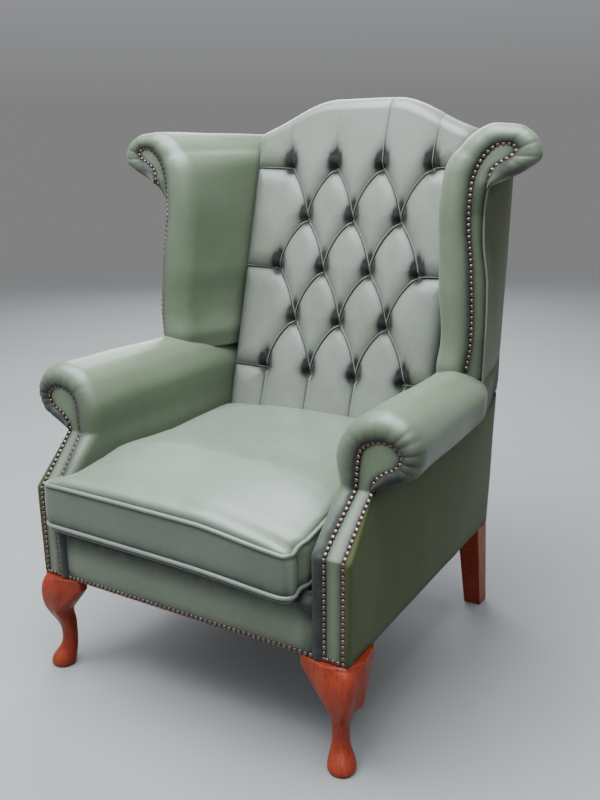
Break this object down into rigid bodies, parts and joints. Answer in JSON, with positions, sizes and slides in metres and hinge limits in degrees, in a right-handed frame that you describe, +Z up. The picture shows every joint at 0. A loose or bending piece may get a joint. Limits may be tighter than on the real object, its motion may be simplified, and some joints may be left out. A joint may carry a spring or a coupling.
{
  "type": "wing armchair",
  "caption": "High-backed wing armchair in green leather with a deep-buttoned back, scrolled arms and wings, a loose seat cushion and cabriole front legs.",
  "frame": {"origin": "on the floor under the middle of the chair", "axes": "+X to the chair's right in a front view, +Y to the back, +Z up; the chair faces -Y"},
  "size_m": [0.908, 0.776, 1.0683],
  "materials": {
    "green_leather": "antiqued, semi-gloss",
    "button_leather": "antiqued, semi-gloss",
    "nail_brass": "antiqued",
    "leg_wood": "polished mahogany",
    "frame_wood": "sawn",
    "webbing": "woven",
    "platform_cloth": "woven",
    "dust_cloth": "woven",
    "bolt_steel": "zinc plated"
  },
  "bodies": {
    "chair": {"back_buttons": "button_leather", "back_webbing": "webbing", "corner_blocks": "frame_wood", "crest_rail": "frame_wood", "dust_cover": "dust_cloth", "front_border": "green_leather", "front_seat_rail": "frame_wood", "inside_back": "green_leather", "left_arm_facing": "green_leather", "left_arm_pad": "green_leather", "left_arm_post": "frame_wood", "left_arm_rail": "frame_wood", "left_back_post": "frame_wood", "left_front_leg": "leg_wood", "left_outside_arm": "green_leather", "left_outside_wing": "green_leather", "left_rear_leg": "leg_wood", "left_seat_rail": "frame_wood", "left_wing_facing": "green_leather", "left_wing_pad": "green_leather", "left_wing_post": "frame_wood", "left_wing_rail": "frame_wood", "leg_bolts": "bolt_steel", "lower_back_rail": "frame_wood", "outside_back": "green_leather", "rear_seat_rail": "frame_wood", "right_arm_facing": "green_leather", "right_arm_pad": "green_leather", "right_arm_post": "frame_wood", "right_arm_rail": "frame_wood", "right_back_post": "frame_wood", "right_front_leg": "leg_wood", "right_outside_arm": "green_leather", "right_outside_wing": "green_leather", "right_rear_leg": "leg_wood", "right_seat_rail": "frame_wood", "right_wing_facing": "green_leather", "right_wing_pad": "green_leather", "right_wing_post": "frame_wood", "right_wing_rail": "frame_wood", "seat_platform": "platform_cloth", "seat_webbing": "webbing"},
    "cushion": {"seat_cushion": "green_leather"}
  },
  "joints": [
    {"name": "cushion_pull", "type": "slide", "parent": "chair", "child": "cushion", "axis": [0, -1, 0], "range_m": [0, 0.5]}
  ]
}
